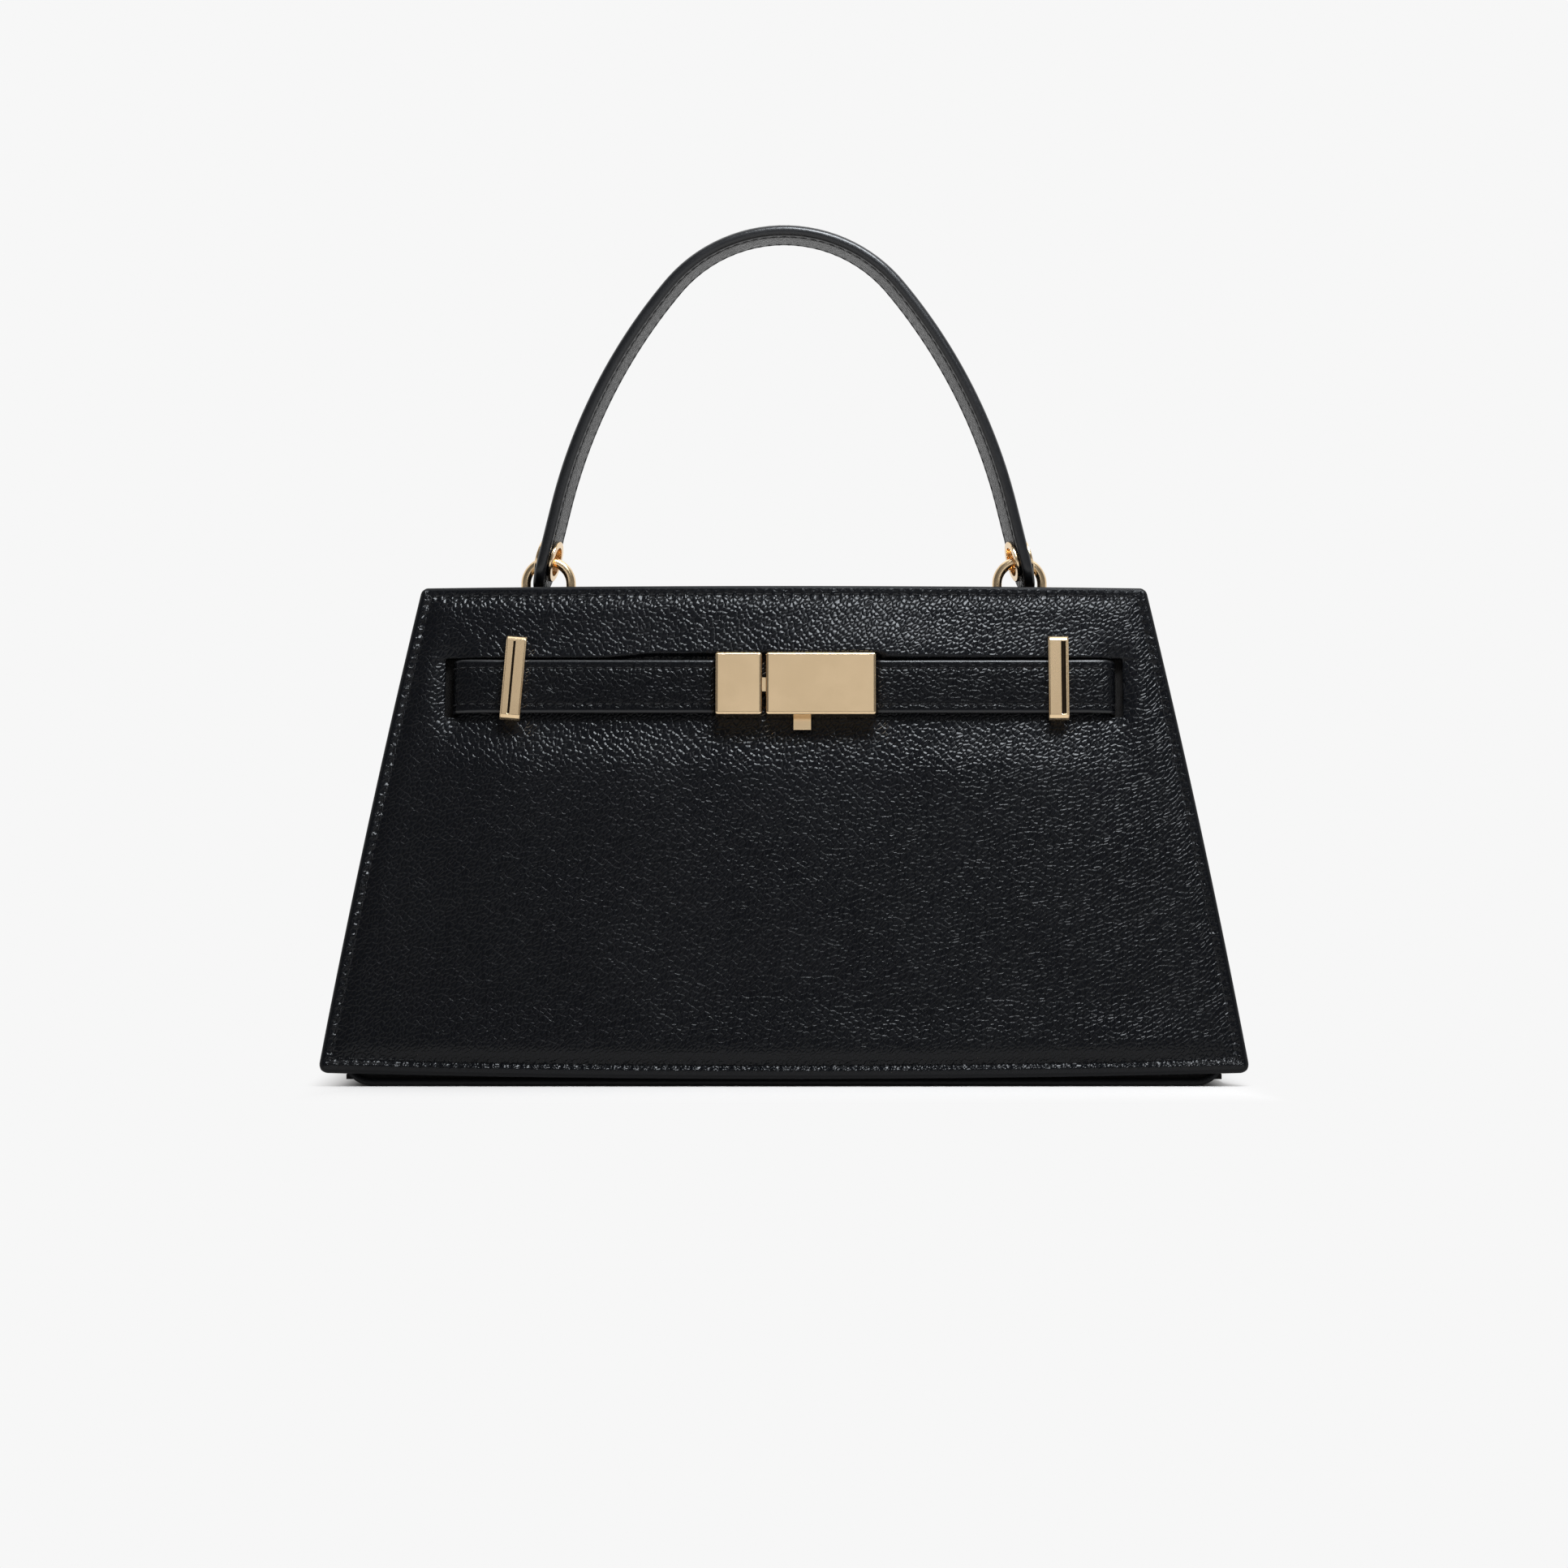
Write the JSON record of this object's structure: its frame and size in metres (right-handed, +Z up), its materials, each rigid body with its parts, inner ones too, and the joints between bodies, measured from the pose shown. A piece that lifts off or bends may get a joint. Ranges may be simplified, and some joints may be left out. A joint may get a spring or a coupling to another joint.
{
  "type": "top handle bag",
  "caption": "Structured trapezoid leather bag with an arched top handle on rings, a belted front with bars and a pull-apart clasp, and an opening front wall.",
  "frame": {"origin": "on the floor under the middle of the bag's base", "axes": "+X to the right as seen from the front, +Y to the back, so the belted front faces -Y, +Z up"},
  "size_m": [0.2796, 0.0956, 0.263],
  "materials": {
    "body_leather": "pebbled, semi-gloss",
    "strap_leather": "pebbled, semi-gloss, painted edges",
    "lining_cloth": "twill",
    "stiffener_board": "black, raw",
    "gold_metal": "polished, pale gold",
    "steel": "plain"
  },
  "bodies": {
    "carcass": {"back_panel": "body_leather", "back_board": "stiffener_board", "back_lining": "lining_cloth", "base_panel": "body_leather", "base_board": "stiffener_board", "base_lining": "lining_cloth", "divider_front": "strap_leather", "divider_board": "stiffener_board", "divider_back": "strap_leather", "gusset_left": "body_leather", "gusset_right": "body_leather", "ring_tab_left": "strap_leather", "ring_tab_right": "strap_leather"},
    "front_wall": {"front_panel": "body_leather", "front_board": "stiffener_board", "front_lining": "lining_cloth", "keeper_left": "gold_metal", "keeper_right": "gold_metal", "keeper_washers": "gold_metal", "belt_left": "strap_leather", "belt_right": "strap_leather", "lock_case": "gold_metal", "lock_back": "gold_metal", "lock_screws": "steel", "latch_spring": "steel"},
    "catch": {"catch_case": "gold_metal", "catch_back": "gold_metal", "catch_screws": "steel", "catch_tongue": "gold_metal"},
    "latch": {"latch": "gold_metal"},
    "rings": {"ring_left": "gold_metal", "ring_right": "gold_metal"},
    "handle": {"handle_outer": "strap_leather", "handle_core": "stiffener_board", "handle_inner": "strap_leather", "eyelet_left": "gold_metal", "eyelet_right": "gold_metal", "eyelet_washers": "gold_metal"}
  },
  "joints": [
    {"name": "mouth_open", "type": "hinge", "parent": "carcass", "child": "front_wall", "pos_m": [0, -0.04547, 0.0026], "axis": [1, 0, 0], "range_deg": [0, 6], "deforming": ["gusset_left", "gusset_right"]},
    {"name": "catch_slide", "type": "slide", "parent": "front_wall", "child": "catch", "axis": [-1, 0, 0], "range_m": [0, 0.0165], "deforming": ["belt_left"]},
    {"name": "latch_lift", "type": "slide", "parent": "front_wall", "child": "latch", "axis": [0, 0.1822, 0.9833], "range_m": [0, 0.0026], "deforming": ["latch_spring"]},
    {"name": "ring_tilt", "type": "hinge", "parent": "carcass", "child": "rings", "pos_m": [0, 0, 0.13905], "axis": [1, 0, 0], "range_deg": [-20, 20]},
    {"name": "handle_swing", "type": "hinge", "parent": "rings", "child": "handle", "pos_m": [0, 0, 0.16005], "axis": [1, 0, 0], "range_deg": [-55, 55]}
  ],
  "couplings": [
    {"joint": "latch_lift", "follows": "catch_slide", "ratio": 0.15}
  ]
}
